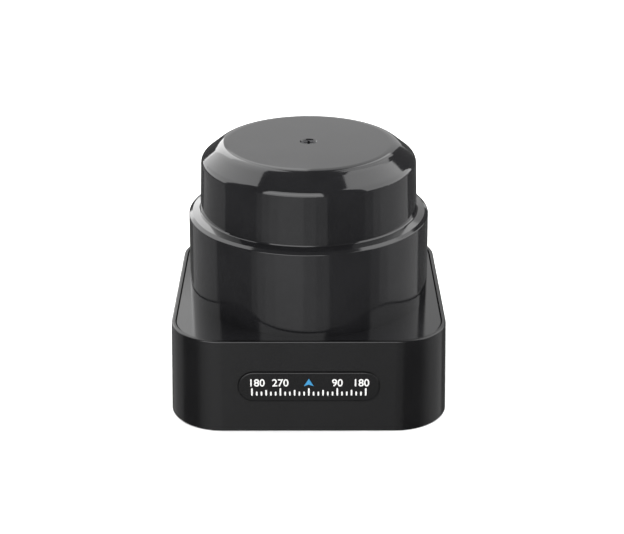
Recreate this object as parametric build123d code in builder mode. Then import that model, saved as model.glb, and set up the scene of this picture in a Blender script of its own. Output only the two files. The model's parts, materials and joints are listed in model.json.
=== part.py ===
from build123d import *

import os
from math import cos, radians, sin, tan

os.makedirs("parts", exist_ok=True)

# A compact 360-degree lidar scanner module. Millimetres, +Z up, origin at the centre of the
# bottom face. The badge faces -Y and the connector faces +Y.

# ---- Driving dimensions: outside -------------------------------------------------------------
overall_height = 55.0
base_width = 60.0            # square footprint at the bottom edge
base_corner_radius = 11.6    # in plan, at the bottom edge
base_height = 20.8
draft_angle = 1.5            # mould draft of the base walls
rim_width = 0.8              # lip of the base that frames the upper housing
rim_rise = 0.2               # how far the lip stands above the flange it frames
parting_gap = 0.18
flange_thickness = 2.2
barrel_foot_radius = 26.63   # the lower drum, part of the upper housing
barrel_top_radius = 26.39
ledge_outer_z = 39.18
ledge_blend = 0.2            # rounding between the drum and its ledge
ledge_bevel_radius = 25.6    # inner edge of the steeper band of the ledge
ledge_bevel_z = 39.63
ledge_inner_z = 40.0
window_foot_radius = 23.85   # the upper drum, the optical window
window_top_radius = 23.44
window_cone_z = 51.52
window_disc_radius = 19.1    # where the cone would meet the flat top
window_cone_blend = 1.77
window_disc_blend = 4.22

# ---- Driving dimensions: walls and fits ------------------------------------------------------
base_floor = 2.4
ledge_width = 1.7            # shelf of the base that carries the flange and the gasket
barrel_wall = 2.05
window_wall = 1.6
fit_gap = 0.02               # radial room of pieces that sit in each other
thread_gap = 0.03            # a plain shank stands for the thread
hole_gap = 0.1               # radial room of a screw in a board or a plate
edge_break = 0.12            # small chamfer on an edge that is touched
tolerance = 0.01             # for picking a vertex or an edge by its size

# ---- Driving dimensions: heights of the inner stack ------------------------------------------
main_board_z = 6.8
spindle_plate_z = 17.0
stator_board_z = 18.6
stator_core_z = 20.0
yoke_top_z = 24.9
lower_bearing_z = 24.3
coil_board_z = 26.1
rotor_disc_z = 30.2
rotor_disc_top_z = 32.1
upper_bearing_z = 33.7
rotor_board_z = 34.7
optics_plate_z = 38.6
optics_plate_top_z = 40.2
optical_axis_z = 45.7
spindle_top_z = 52.0

# ---- Derived outline of the case -------------------------------------------------------------
draft_inset = base_height * tan(radians(draft_angle))
top_half_width = base_width / 2 - draft_inset
top_corner_radius = base_corner_radius - draft_inset
rebate_half_width = top_half_width - rim_width
flange_half_width = rebate_half_width - parting_gap
flange_z = base_height - flange_thickness
cavity_half_width = rebate_half_width - ledge_width
barrel_inner_radius = barrel_foot_radius - barrel_wall


def corner_radius(half_width):
    """Corner radius of an outline that runs parallel to the top edge of the base."""
    return top_corner_radius - (top_half_width - half_width)


def wall_y(z):
    """Distance of the drafted outer wall from the middle at height z."""
    return base_width / 2 - z * tan(radians(draft_angle))


def polar(radius, angle):
    """Point at a radius and an angle in degrees, in plan."""
    return (radius * cos(radians(angle)), radius * sin(radians(angle)))


def corners(x, y):
    """The four points at plus and minus x and y."""
    return [(x, y), (-x, y), (-x, -y), (x, -y)]


def disc(inner_radius, outer_radius, z, height):
    """Flat ring whose lower face is at z."""
    with BuildPart() as ring:
        with BuildSketch(Plane.XY.offset(z)):
            Circle(outer_radius)
            Circle(inner_radius, mode=Mode.SUBTRACT)
        extrude(amount=height)
    return ring


def turned(points):
    """Solid of revolution about Z of a closed outline of radius and height pairs."""
    with BuildPart() as body:
        with BuildSketch(Plane.XZ):
            with BuildLine():
                Polyline(*points, close=True)
            make_face()
        revolve(axis=Axis.Z)
    return body


def pan_head_screws(sites, seat_z, head, shank, upward):
    """Screws at the sites: head and shank are (radius, length), seat_z is under the head."""
    way = 1 if upward else -1
    socket_depth = head[1] * 0.6
    socket_radius = head[0] * 0.5
    crown_blend = head[1] * 0.3
    with BuildPart() as screws:
        with BuildSketch(Plane.XY.offset(seat_z)):
            with Locations(*sites):
                Circle(head[0])
        extrude(amount=-way * head[1])
        outer_faces = screws.faces().filter_by(Axis.Z).sort_by(Axis.Z, reverse=not upward)
        fillet(outer_faces[:len(sites)].edges(), crown_blend)
        with BuildSketch(Plane.XY.offset(seat_z)):
            with Locations(*sites):
                Circle(shank[0])
        extrude(amount=way * shank[1])
        with BuildSketch(Plane.XY.offset(seat_z - way * head[1])):
            with Locations(*sites):
                RegularPolygon(socket_radius, 6)
        extrude(amount=way * socket_depth, mode=Mode.SUBTRACT)
    return screws


# ---- Base housing ----------------------------------------------------------------------------
case_screw_sites = corners(21.5, 21.5)
case_boss_radius = 2.9
case_boss_top_z = 7.4
case_screw_radius = 1.25
case_screw_head = (2.2, 1.5)
case_screw_length = 9.0
case_screw_seat_z = 3.0
counterbore_gap = 0.2
foot_chamfer = 0.3
rim_blend = 0.3
insert_sites = corners(22.0, 12.0)
insert_radius = 2.1
insert_length = 4.0
insert_thread_radius = 1.25
insert_boss_radius = 3.4
insert_boss_top_z = 5.4
board_screw_sites = corners(11.5, 22.4)
board_boss_radius = 2.2
board_screw_radius = 1.0
board_screw_hole_depth = 3.0
label_size = (28.0, 17.0)
label_recess = 0.2
label_thickness = 0.15
label_gap = 0.2
label_corner = 1.0
gasket_groove_inset = 0.45
gasket_groove_width = 0.8
gasket_groove_depth = 0.7
connector_body = (14.9, 5.8)
connector_window_gap = 0.2
connector_window_corner = 0.6
main_board_thickness = 1.2
main_board_top_z = main_board_z + main_board_thickness
connector_z = main_board_top_z + connector_body[1] / 2
badge_size = (30.0, 6.8)
badge_z = 10.7
badge_pocket = 0.3
badge_thickness = 0.78
badge_gap = 0.05
badge_blend = 0.3

badge_plane = Plane(
    origin=(0, -wall_y(badge_z), badge_z),
    x_dir=(1, 0, 0),
    z_dir=(0, -cos(radians(draft_angle)), sin(radians(draft_angle))),
)

with BuildPart() as base_housing:
    with BuildSketch(Plane.XY):
        RectangleRounded(base_width, base_width, base_corner_radius)
    extrude(amount=base_height + rim_rise, taper=draft_angle)
    chamfer(base_housing.faces().sort_by(Axis.Z)[0].edges(), foot_chamfer)
    fillet(base_housing.faces().sort_by(Axis.Z)[-1].edges(), rim_blend)
    # the open box and the stepped shelf for the flange
    with BuildSketch(Plane.XY.offset(base_floor)):
        side = 2 * cavity_half_width
        RectangleRounded(side, side, corner_radius(cavity_half_width))
    extrude(amount=base_height, mode=Mode.SUBTRACT)
    with BuildSketch(Plane.XY.offset(flange_z)):
        side = 2 * rebate_half_width
        RectangleRounded(side, side, corner_radius(rebate_half_width))
    extrude(amount=base_height, mode=Mode.SUBTRACT)
    # gasket groove in the shelf
    groove_outer = rebate_half_width - gasket_groove_inset
    groove_inner = groove_outer - gasket_groove_width
    with BuildSketch(Plane.XY.offset(flange_z - gasket_groove_depth)):
        RectangleRounded(2 * groove_outer, 2 * groove_outer, corner_radius(groove_outer))
        RectangleRounded(
            2 * groove_inner, 2 * groove_inner, corner_radius(groove_inner), mode=Mode.SUBTRACT
        )
    extrude(amount=gasket_groove_depth, mode=Mode.SUBTRACT)
    # bosses on the floor
    with BuildSketch(Plane.XY.offset(base_floor)):
        with Locations(*case_screw_sites):
            Circle(case_boss_radius)
    extrude(amount=case_boss_top_z - base_floor)
    with BuildSketch(Plane.XY.offset(base_floor)):
        with Locations(*insert_sites):
            Circle(insert_boss_radius)
    extrude(amount=insert_boss_top_z - base_floor)
    with BuildSketch(Plane.XY.offset(base_floor)):
        with Locations(*board_screw_sites):
            Circle(board_boss_radius)
    extrude(amount=main_board_z - base_floor)
    # screw holes, with the heads sunk in the underside
    with BuildSketch(Plane.XY):
        with Locations(*case_screw_sites):
            Circle(case_screw_head[0] + counterbore_gap)
    extrude(amount=case_screw_seat_z, mode=Mode.SUBTRACT)
    with BuildSketch(Plane.XY):
        with Locations(*case_screw_sites):
            Circle(case_screw_radius + hole_gap)
    extrude(amount=case_boss_top_z, mode=Mode.SUBTRACT)
    with BuildSketch(Plane.XY):
        with Locations(*insert_sites):
            Circle(insert_radius)
    extrude(amount=insert_length, mode=Mode.SUBTRACT)
    with BuildSketch(Plane.XY.offset(main_board_z)):
        with Locations(*board_screw_sites):
            Circle(board_screw_radius)
    extrude(amount=-board_screw_hole_depth, mode=Mode.SUBTRACT)
    # shallow seats of the label underneath and the badge in front
    with BuildSketch(Plane.XY):
        RectangleRounded(
            label_size[0] + 2 * label_gap, label_size[1] + 2 * label_gap, label_corner + label_gap
        )
    extrude(amount=label_recess, mode=Mode.SUBTRACT)
    with BuildSketch(badge_plane):
        SlotOverall(badge_size[0] + 2 * badge_gap, badge_size[1] + 2 * badge_gap)
    extrude(amount=-badge_pocket, mode=Mode.SUBTRACT)
    # window for the connector in the rear wall
    rear_plane = Plane(origin=(0, base_width / 2, connector_z), x_dir=(-1, 0, 0), z_dir=(0, 1, 0))
    with BuildSketch(rear_plane):
        RectangleRounded(
            connector_body[0] + 2 * connector_window_gap,
            connector_body[1] + 2 * connector_window_gap,
            connector_window_corner,
        )
    extrude(amount=-(base_width / 2 - cavity_half_width), mode=Mode.SUBTRACT)
base_housing.part.label = "base_housing"
export_step(base_housing.part, "parts/base_housing.step")

# ---- Upper housing: square flange, drum and inner bosses -------------------------------------
window_seat_gap = 0.14
window_seat_radius = window_foot_radius + window_seat_gap
window_seat_z = 37.8
seat_shelf_radius = 22.1
seat_shelf_z = 36.4
case_column_radius = 2.7
case_thread_depth = 6.5
plate_screw_angles = (30, 150, 270)
plate_screw_radius = 19.2
plate_boss_radius = 2.2
plate_thread_radius = 1.0
plate_thread_depth = 3.6
rib_overlap = 0.6            # how far a rib reaches into the drum wall
plate_screw_sites = [polar(plate_screw_radius, angle) for angle in plate_screw_angles]

with BuildPart() as upper_housing:
    with BuildSketch(Plane.XY.offset(flange_z)):
        side = 2 * flange_half_width
        RectangleRounded(side, side, corner_radius(flange_half_width))
    extrude(amount=flange_thickness)
    chamfer(upper_housing.faces().sort_by(Axis.Z)[-1].edges(), edge_break)
    # drum with its sloping ledge and the stepped seat of the window
    with BuildSketch(Plane.XZ) as drum_outline:
        with BuildLine():
            Polyline(
                (0, flange_z),
                (barrel_foot_radius, flange_z),
                (barrel_foot_radius, base_height),
                (barrel_top_radius, ledge_outer_z),
                (ledge_bevel_radius, ledge_bevel_z),
                (window_seat_radius + edge_break, ledge_inner_z),
                (window_seat_radius, ledge_inner_z - edge_break),
                (window_seat_radius, window_seat_z),
                (0, window_seat_z),
                close=True,
            )
        make_face()
        fillet(
            drum_outline.vertices().filter_by(lambda v: abs(v.X - barrel_top_radius) < tolerance),
            ledge_blend,
        )
    revolve(axis=Axis.Z)
    with BuildSketch(Plane.XZ):
        with BuildLine():
            Polyline(
                (0, flange_z),
                (barrel_inner_radius, flange_z),
                (barrel_inner_radius, seat_shelf_z),
                (seat_shelf_radius, seat_shelf_z),
                (seat_shelf_radius, window_seat_z),
                (0, window_seat_z),
                close=True,
            )
        make_face()
    revolve(axis=Axis.Z, mode=Mode.SUBTRACT)
    # columns for the case screws
    with BuildSketch(Plane.XY.offset(case_boss_top_z)):
        with Locations(*case_screw_sites):
            Circle(case_column_radius)
    extrude(amount=flange_z - case_boss_top_z)
    with BuildSketch(Plane.XY.offset(case_boss_top_z)):
        with Locations(*case_screw_sites):
            Circle(case_screw_radius)
    extrude(amount=case_thread_depth, mode=Mode.SUBTRACT)
    # ribs inside the drum that carry the spindle plate below and the coil board above
    rib_end_radius = barrel_inner_radius + rib_overlap
    for angle in plate_screw_angles:
        middle = (plate_screw_radius + rib_end_radius) / 2
        with BuildSketch(Plane.XY.offset(flange_z)):
            with Locations(polar(plate_screw_radius, angle)):
                Circle(plate_boss_radius)
            with Locations(Location(polar(middle, angle) + (0,), angle)):
                Rectangle(rib_end_radius - plate_screw_radius, 2 * plate_boss_radius)
        extrude(amount=coil_board_z - flange_z)
    for plane, amount in (
        (Plane.XY.offset(flange_z), plate_thread_depth),
        (Plane.XY.offset(coil_board_z), -plate_thread_depth),
    ):
        with BuildSketch(plane):
            with Locations(*plate_screw_sites):
                Circle(plate_thread_radius)
        extrude(amount=amount, mode=Mode.SUBTRACT)
upper_housing.part.label = "upper_housing"
export_step(upper_housing.part, "parts/upper_housing.step")

# ---- Optical window: drafted cap with a blended cone and a flat top --------------------------
seal_groove_depth = 0.7
seal_groove_z = 38.05
seal_groove_height = 0.9
window_boss_radius = 3.6
cover_hole_radius = 1.1
cover_sink_radius = 1.9
window_inner_cone_z = 50.9
window_inner_disc_radius = 18.2
lip_z = ledge_inner_z + 0.03 # lip of the cap, over the gap round its skirt
lip_reach = 0.27
lip_foot_height = 0.08
lip_height = 0.27

with BuildPart() as optical_window:
    with BuildSketch(Plane.XZ) as cap_outline:
        with BuildLine():
            Polyline(
                (0, window_seat_z),
                (window_foot_radius, window_seat_z),
                (window_foot_radius, lip_z),
                (window_foot_radius + lip_reach, lip_z),
                (window_foot_radius + lip_reach / 2, lip_z + lip_foot_height),
                (window_foot_radius, lip_z + lip_height),
                (window_top_radius, window_cone_z),
                (window_disc_radius, overall_height),
                (0, overall_height),
                close=True,
            )
        make_face()
        fillet(
            cap_outline.vertices().filter_by(lambda v: abs(v.X - window_top_radius) < tolerance),
            window_cone_blend,
        )
        fillet(
            cap_outline.vertices().filter_by(lambda v: abs(v.X - window_disc_radius) < tolerance),
            window_disc_blend,
        )
    revolve(axis=Axis.Z)
    with BuildSketch(Plane.XZ) as cap_hollow:
        inner_top_z = overall_height - window_wall
        with BuildLine():
            Polyline(
                (0, window_seat_z),
                (window_foot_radius - window_wall, window_seat_z),
                (window_top_radius - window_wall, window_inner_cone_z),
                (window_inner_disc_radius, inner_top_z),
                (0, inner_top_z),
                close=True,
            )
        make_face()
        fillet(
            cap_hollow.vertices().filter_by(lambda v: v.X > tolerance and v.Z > ledge_inner_z),
            window_cone_blend,
        )
    revolve(axis=Axis.Z, mode=Mode.SUBTRACT)
    # boss that stands on the spindle, with the countersunk hole of the cover screw
    with BuildSketch(Plane.XY.offset(spindle_top_z)):
        Circle(window_boss_radius)
    extrude(amount=overall_height - window_wall / 2 - spindle_top_z)
    with Locations(Location((0, 0, overall_height))):
        CounterSinkHole(cover_hole_radius, cover_sink_radius, counter_sink_angle=90)
    # groove of the seal in the skirt
    with BuildSketch(Plane.XY.offset(seal_groove_z)):
        Circle(barrel_foot_radius)
        Circle(window_foot_radius - seal_groove_depth, mode=Mode.SUBTRACT)
    extrude(amount=seal_groove_height, mode=Mode.SUBTRACT)
optical_window.part.label = "optical_window"
export_step(optical_window.part, "parts/optical_window.step")

# ---- Seals, badge, label and case hardware ---------------------------------------------------
seal_section_radius = 0.4
with BuildPart() as window_seal:
    seal_radius = window_seat_radius - fit_gap - seal_section_radius
    with BuildSketch(Plane.XZ):
        with Locations((seal_radius, seal_groove_z + seal_groove_height / 2)):
            Circle(seal_section_radius)
    revolve(axis=Axis.Z)
window_seal.part.label = "window_seal"
export_step(window_seal.part, "parts/window_seal.step")

with BuildPart() as case_gasket:
    gasket_outer = groove_outer - fit_gap
    gasket_inner = groove_inner + fit_gap
    with BuildSketch(Plane.XY.offset(flange_z - gasket_groove_depth)):
        RectangleRounded(2 * gasket_outer, 2 * gasket_outer, corner_radius(gasket_outer))
        RectangleRounded(
            2 * gasket_inner, 2 * gasket_inner, corner_radius(gasket_inner), mode=Mode.SUBTRACT
        )
    extrude(amount=gasket_groove_depth)
case_gasket.part.label = "case_gasket"
export_step(case_gasket.part, "parts/case_gasket.step")

with BuildPart() as front_badge:
    with BuildSketch(badge_plane.offset(-badge_pocket)):
        SlotOverall(*badge_size)
    extrude(amount=badge_thickness)
    front_face = front_badge.faces().sort_by(Axis.Y)[0]
    fillet(front_face.edges(), badge_blend)
front_badge.part.label = "front_badge"
export_step(front_badge.part, "parts/front_badge.step")

with BuildPart() as rating_label:
    with BuildSketch(Plane.XY.offset(label_recess)):
        RectangleRounded(*label_size, label_corner)
    extrude(amount=-label_thickness)
rating_label.part.label = "rating_label"
export_step(rating_label.part, "parts/rating_label.step")

cover_screw_length = 6.0
cover_head_sink = 0.2
cover_head_gap = 0.04
cover_head_radius = cover_sink_radius - cover_head_sink - cover_head_gap
cover_drive_depth = 0.8
drive_length = 2.1
drive_width = 0.5
screw_point = 0.3
with BuildPart() as cover_screw:
    head_z = overall_height - cover_head_sink
    tip_z = head_z - cover_screw_length
    shank_radius = plate_thread_radius - thread_gap
    neck_z = head_z - cover_head_radius + shank_radius
    with BuildSketch(Plane.XZ):
        with BuildLine():
            Polyline(
                (0, head_z),
                (cover_head_radius, head_z),
                (shank_radius, neck_z),
                (shank_radius, tip_z + screw_point),
                (shank_radius - screw_point, tip_z),
                (0, tip_z),
                close=True,
            )
        make_face()
    revolve(axis=Axis.Z)
    # cross recess
    with BuildSketch(Plane.XY.offset(head_z)):
        Rectangle(drive_length, drive_width)
        Rectangle(drive_width, drive_length)
    extrude(amount=-cover_drive_depth, mode=Mode.SUBTRACT)
cover_screw.part.label = "cover_screw"
export_step(cover_screw.part, "parts/cover_screw.step")

case_screws = pan_head_screws(
    case_screw_sites,
    case_screw_seat_z,
    case_screw_head,
    (case_screw_radius - thread_gap, case_screw_length),
    upward=True,
)
case_screws.part.label = "case_screws"
export_step(case_screws.part, "parts/case_screws.step")

insert_band_height = 1.8
insert_waist_height = 0.6
insert_waist_depth = 0.3
with BuildPart() as mount_inserts:
    with BuildSketch(Plane.XY):
        with Locations(*insert_sites):
            Circle(insert_radius - fit_gap)
            Circle(insert_thread_radius, mode=Mode.SUBTRACT)
    extrude(amount=insert_length)
    # waist between the two knurled bands
    with BuildSketch(Plane.XY.offset(insert_band_height)):
        with Locations(*insert_sites):
            Circle(insert_radius)
            Circle(insert_radius - insert_waist_depth, mode=Mode.SUBTRACT)
    extrude(amount=insert_waist_height, mode=Mode.SUBTRACT)
mount_inserts.part.label = "mount_inserts"
export_step(mount_inserts.part, "parts/mount_inserts.step")

# ---- Main board and connector ----------------------------------------------------------------
main_board_half = 25.0
main_board_corner_cut = 12.0
pin_pitch = 2.5
pin_count = 5
pin_side = 0.64
pin_hole_radius = 0.48
pin_tail = 1.0
pin_tip_setback = 1.6
pin_xs = [(i - (pin_count - 1) / 2) * pin_pitch for i in range(pin_count)]
shell_front_y = 18.5
shell_setback = 0.45
shell_mouth_y = wall_y(connector_z) - shell_setback
shell_wall = 0.75
shell_back = 2.6
shell_corner = 0.3
keyway_x = 4.4
keyway_size = (1.4, 2.4)
pin_row_y = shell_front_y + shell_back / 2
m2_head = (1.75, 1.2)
board_screw_length = 3.8

with BuildPart() as main_board:
    with BuildSketch(Plane.XY.offset(main_board_z)) as board_outline:
        Rectangle(2 * main_board_half, 2 * main_board_half)
        chamfer(board_outline.vertices(), main_board_corner_cut)
        with Locations(*board_screw_sites):
            Circle(board_screw_radius + hole_gap, mode=Mode.SUBTRACT)
        with Locations(*[(x, pin_row_y) for x in pin_xs]):
            Circle(pin_hole_radius, mode=Mode.SUBTRACT)
    extrude(amount=main_board_thickness)
main_board.part.label = "main_board"
export_step(main_board.part, "parts/main_board.step")

main_board_screws = pan_head_screws(
    board_screw_sites,
    main_board_top_z,
    m2_head,
    (board_screw_radius - thread_gap, board_screw_length),
    upward=False,
)
main_board_screws.part.label = "main_board_screws"
export_step(main_board_screws.part, "parts/main_board_screws.step")

# processor, motor driver, power chips and crystal: x, y, length, width, height
chips = (
    (0, -4, 10.0, 10.0, 1.4),
    (13, 6, 5.0, 5.0, 0.9),
    (-13, 8, 6.2, 5.0, 1.5),
    (16.5, -9, 4.9, 3.9, 1.4),
    (-4, 8, 3.2, 2.5, 0.8),
)
with BuildPart() as main_board_chips:
    for x, y, length, width, height in chips:
        with BuildSketch(Plane.XY.offset(main_board_top_z)):
            with Locations((x, y)):
                Rectangle(length, width)
        extrude(amount=height)
main_board_chips.part.label = "main_board_chips"
export_step(main_board_chips.part, "parts/main_board_chips.step")

capacitor_radius = 2.0
capacitor_height = 4.4
capacitor_foot_height = 0.6
capacitor_blend = 0.3
capacitor_sites = [(7.5, 12.5), (2.5, 12.5), (-18, -2)]
with BuildPart() as main_board_capacitors:
    with BuildSketch(Plane.XY.offset(main_board_top_z)):
        with Locations(*capacitor_sites):
            Rectangle(2 * capacitor_radius, 2 * capacitor_radius)
    extrude(amount=capacitor_foot_height)
    with BuildSketch(Plane.XY.offset(main_board_top_z + capacitor_foot_height)):
        with Locations(*capacitor_sites):
            Circle(capacitor_radius - hole_gap)
    extrude(amount=capacitor_height - capacitor_foot_height)
    tops = main_board_capacitors.faces().filter_by(Axis.Z).sort_by(Axis.Z)[-len(capacitor_sites):]
    fillet(tops.edges(), capacitor_blend)
main_board_capacitors.part.label = "main_board_capacitors"
export_step(main_board_capacitors.part, "parts/main_board_capacitors.step")

with BuildPart() as io_connector_shell:
    shell_plane = Plane(origin=(0, shell_mouth_y, connector_z), x_dir=(-1, 0, 0), z_dir=(0, 1, 0))
    with BuildSketch(shell_plane):
        RectangleRounded(*connector_body, shell_corner)
    extrude(amount=-(shell_mouth_y - shell_front_y))
    with BuildSketch(shell_plane):
        Rectangle(connector_body[0] - 2 * shell_wall, connector_body[1] - 2 * shell_wall)
        # two keyways through the upper wall
        with Locations((-keyway_x, connector_body[1] / 2), (keyway_x, connector_body[1] / 2)):
            Rectangle(*keyway_size)
    extrude(amount=-(shell_mouth_y - shell_front_y - shell_back), mode=Mode.SUBTRACT)
    # holes of the pins through the back wall and down to the board
    with BuildSketch(shell_plane.offset(-(shell_mouth_y - shell_front_y - shell_back))):
        with Locations(*[(x, 0) for x in pin_xs]):
            Rectangle(pin_side + 2 * thread_gap, pin_side + 2 * thread_gap)
    extrude(
        amount=-(shell_front_y + shell_back - pin_row_y + pin_side / 2 + thread_gap),
        mode=Mode.SUBTRACT,
    )
    with BuildSketch(Plane.XY.offset(main_board_top_z)):
        with Locations(*[(x, pin_row_y) for x in pin_xs]):
            Rectangle(pin_side + 2 * thread_gap, pin_side + 2 * thread_gap)
    extrude(amount=connector_body[1] / 2 + pin_side / 2 + thread_gap, mode=Mode.SUBTRACT)
io_connector_shell.part.label = "io_connector_shell"
export_step(io_connector_shell.part, "parts/io_connector_shell.step")

# bent square pins: a leg through the board and a tip in the mouth
with BuildPart() as io_connector_pins:
    leg_bottom_z = main_board_z - pin_tail
    tip_y = shell_mouth_y - pin_tip_setback
    for x in pin_xs:
        with BuildSketch(Plane.YZ.offset(x - pin_side / 2)):
            with BuildLine():
                Polyline(
                    (pin_row_y - pin_side / 2, leg_bottom_z),
                    (pin_row_y + pin_side / 2, leg_bottom_z),
                    (pin_row_y + pin_side / 2, connector_z - pin_side / 2),
                    (tip_y, connector_z - pin_side / 2),
                    (tip_y, connector_z + pin_side / 2),
                    (pin_row_y - pin_side / 2, connector_z + pin_side / 2),
                    close=True,
                )
            make_face()
        extrude(amount=pin_side)
io_connector_pins.part.label = "io_connector_pins"
export_step(io_connector_pins.part, "parts/io_connector_pins.step")

# ---- Flexible leads between the boards -------------------------------------------------------
flex_thickness = 0.2
flex_connector_height = 1.6
flex_connector_depth = 2.4
flex_connector_margin = 1.6
sensor_flex_angle = 210
sensor_flex_radius = 18.9
sensor_flex_width = 6.0
motor_flex_angle = 330
motor_flex_radius = 10.4
motor_flex_width = 5.0
sensor_flex_bow = 0.9
motor_flex_bow = 0.5
flex_bottom_z = main_board_top_z + flex_connector_height
coil_connector_height = 1.4


def flex_lead(angle, radius, width, top_z, bow):
    """Flat lead from its connector on the main board up to top_z, bowed out by a little."""
    side = polar(1, angle)
    plane = Plane(origin=(0, 0, 0), x_dir=(side[0], side[1], 0), z_dir=(side[1], -side[0], 0))
    drop = top_z - flex_bottom_z
    with BuildPart() as lead:
        with BuildSketch(plane.offset(-width / 2)):
            with BuildLine():
                FilletPolyline(
                    (radius, flex_bottom_z),
                    (radius, flex_bottom_z + drop / 5),
                    (radius + bow, flex_bottom_z + drop / 2),
                    (radius, top_z - drop / 5),
                    (radius, top_z),
                    radius=drop / 4,
                )
            trace(line_width=flex_thickness)
        extrude(amount=width)
    return lead


sensor_flex = flex_lead(
    sensor_flex_angle,
    sensor_flex_radius,
    sensor_flex_width,
    coil_board_z - coil_connector_height,
    sensor_flex_bow,
)
sensor_flex.part.label = "sensor_flex"
export_step(sensor_flex.part, "parts/sensor_flex.step")

motor_flex = flex_lead(
    motor_flex_angle, motor_flex_radius, motor_flex_width, stator_board_z, motor_flex_bow
)
motor_flex.part.label = "motor_flex"
export_step(motor_flex.part, "parts/motor_flex.step")

with BuildPart() as flex_connectors:
    for angle, radius, width in (
        (sensor_flex_angle, sensor_flex_radius, sensor_flex_width),
        (motor_flex_angle, motor_flex_radius, motor_flex_width),
    ):
        with BuildSketch(Plane.XY.offset(main_board_top_z)):
            with Locations(Location(polar(radius, angle) + (0,), angle)):
                Rectangle(flex_connector_depth, width + flex_connector_margin)
        extrude(amount=flex_connector_height)
    with BuildSketch(Plane.XY.offset(coil_board_z)):
        with Locations(Location(polar(sensor_flex_radius, sensor_flex_angle) + (0,), sensor_flex_angle)):
            Rectangle(flex_connector_depth, sensor_flex_width + flex_connector_margin)
    extrude(amount=-coil_connector_height)
flex_connectors.part.label = "flex_connectors"
export_step(flex_connectors.part, "parts/flex_connectors.step")

# ---- Spindle and its plate -------------------------------------------------------------------
plate_thickness = 1.6
plate_radius = 15.8
plate_top_z = spindle_plate_z + plate_thickness
collar_radius = 6.0
collar_top_z = 23.5
spindle_radius = 2.5
spindle_shoulder_radius = 3.4
spindle_bottom_z = 15.9
spindle_step_z = 39.3
post_radius = 2.0
clip_z = 38.3
clip_thickness = 0.4
clip_groove_radius = 2.1
post_thread_depth = 4.6
post_taper_height = 0.4
spindle_chamfer = 0.3
plate_ear_radius = 2.4
lead_slot_size = (2.2, 6.0)
plate_hole_radius = 1.8
plate_hole_circle_radius = 10.2
plate_screw_head = (1.9, 1.3)
plate_screw_length = 4.8

with BuildPart() as spindle_plate:
    with BuildSketch(Plane.XY.offset(spindle_plate_z)):
        Circle(plate_radius)
        for angle in plate_screw_angles:
            with Locations(polar(plate_screw_radius, angle)):
                Circle(plate_ear_radius)
            with Locations(Location(polar(plate_screw_radius / 2, angle) + (0,), angle)):
                Rectangle(plate_screw_radius, 2 * plate_ear_radius)
        with Locations(*plate_screw_sites):
            Circle(plate_thread_radius + hole_gap, mode=Mode.SUBTRACT)
        # slot for the motor lead and round lightening holes
        with Locations(Location(polar(motor_flex_radius, motor_flex_angle) + (0,), motor_flex_angle)):
            Rectangle(*lead_slot_size, mode=Mode.SUBTRACT)
        with PolarLocations(plate_hole_circle_radius, 5, 30, 240):
            Circle(plate_hole_radius, mode=Mode.SUBTRACT)
    extrude(amount=plate_thickness)
    with BuildSketch(Plane.XY.offset(plate_top_z)):
        Circle(collar_radius)
    extrude(amount=collar_top_z - plate_top_z)
    with BuildSketch(Plane.XY.offset(spindle_plate_z)):
        Circle(spindle_radius)
    extrude(amount=collar_top_z - spindle_plate_z, mode=Mode.SUBTRACT)
spindle_plate.part.label = "spindle_plate"
export_step(spindle_plate.part, "parts/spindle_plate.step")

spindle_plate_screws = pan_head_screws(
    plate_screw_sites,
    spindle_plate_z,
    plate_screw_head,
    (plate_thread_radius - thread_gap, plate_screw_length),
    upward=True,
)
spindle_plate_screws.part.label = "spindle_plate_screws"
export_step(spindle_plate_screws.part, "parts/spindle_plate_screws.step")

with BuildPart() as centre_spindle:
    shaft_radius = spindle_radius - fit_gap / 2
    with BuildSketch(Plane.XZ):
        with BuildLine():
            Polyline(
                (0, spindle_bottom_z),
                (shaft_radius - spindle_chamfer, spindle_bottom_z),
                (shaft_radius, spindle_bottom_z + spindle_chamfer),
                (shaft_radius, collar_top_z),
                (spindle_shoulder_radius, collar_top_z),
                (spindle_shoulder_radius, lower_bearing_z),
                (shaft_radius, lower_bearing_z),
                (shaft_radius, clip_z),
                (clip_groove_radius, clip_z),
                (clip_groove_radius, clip_z + clip_thickness + fit_gap),
                (shaft_radius, clip_z + clip_thickness + fit_gap),
                (shaft_radius, spindle_step_z),
                (post_radius, spindle_step_z + post_taper_height),
                (post_radius, spindle_top_z),
                (0, spindle_top_z),
                close=True,
            )
        make_face()
    revolve(axis=Axis.Z)
    with BuildSketch(Plane.XY.offset(spindle_top_z)):
        Circle(plate_thread_radius)
    extrude(amount=-post_thread_depth, mode=Mode.SUBTRACT)
centre_spindle.part.label = "centre_spindle"
export_step(centre_spindle.part, "parts/centre_spindle.step")

# ---- Motor: fixed stator inside, turning bell outside ----------------------------------------
tooth_count = 9
tooth_width = 1.6
core_height = 3.1
core_ring_radius = 8.3
core_outer_radius = 13.4
shoe_radius = 12.3
shoe_gap_width = 1.5
coil_inner_radius = 8.6
coil_outer_radius = 12.0
coil_build = 0.6
coil_width = 3.6
coil_blend = 0.5
yoke_outer_radius = 16.4
yoke_inner_radius = 15.3
yoke_bottom_z = 19.5
yoke_plate = 0.8
yoke_chamfer = 0.3
magnet_inner_radius = 13.8
magnet_height = 4.0
magnet_inset = 0.2
hub_outer_radius = 6.5
stator_board_radius = 14.6
stator_board_thickness = 0.6

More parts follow.
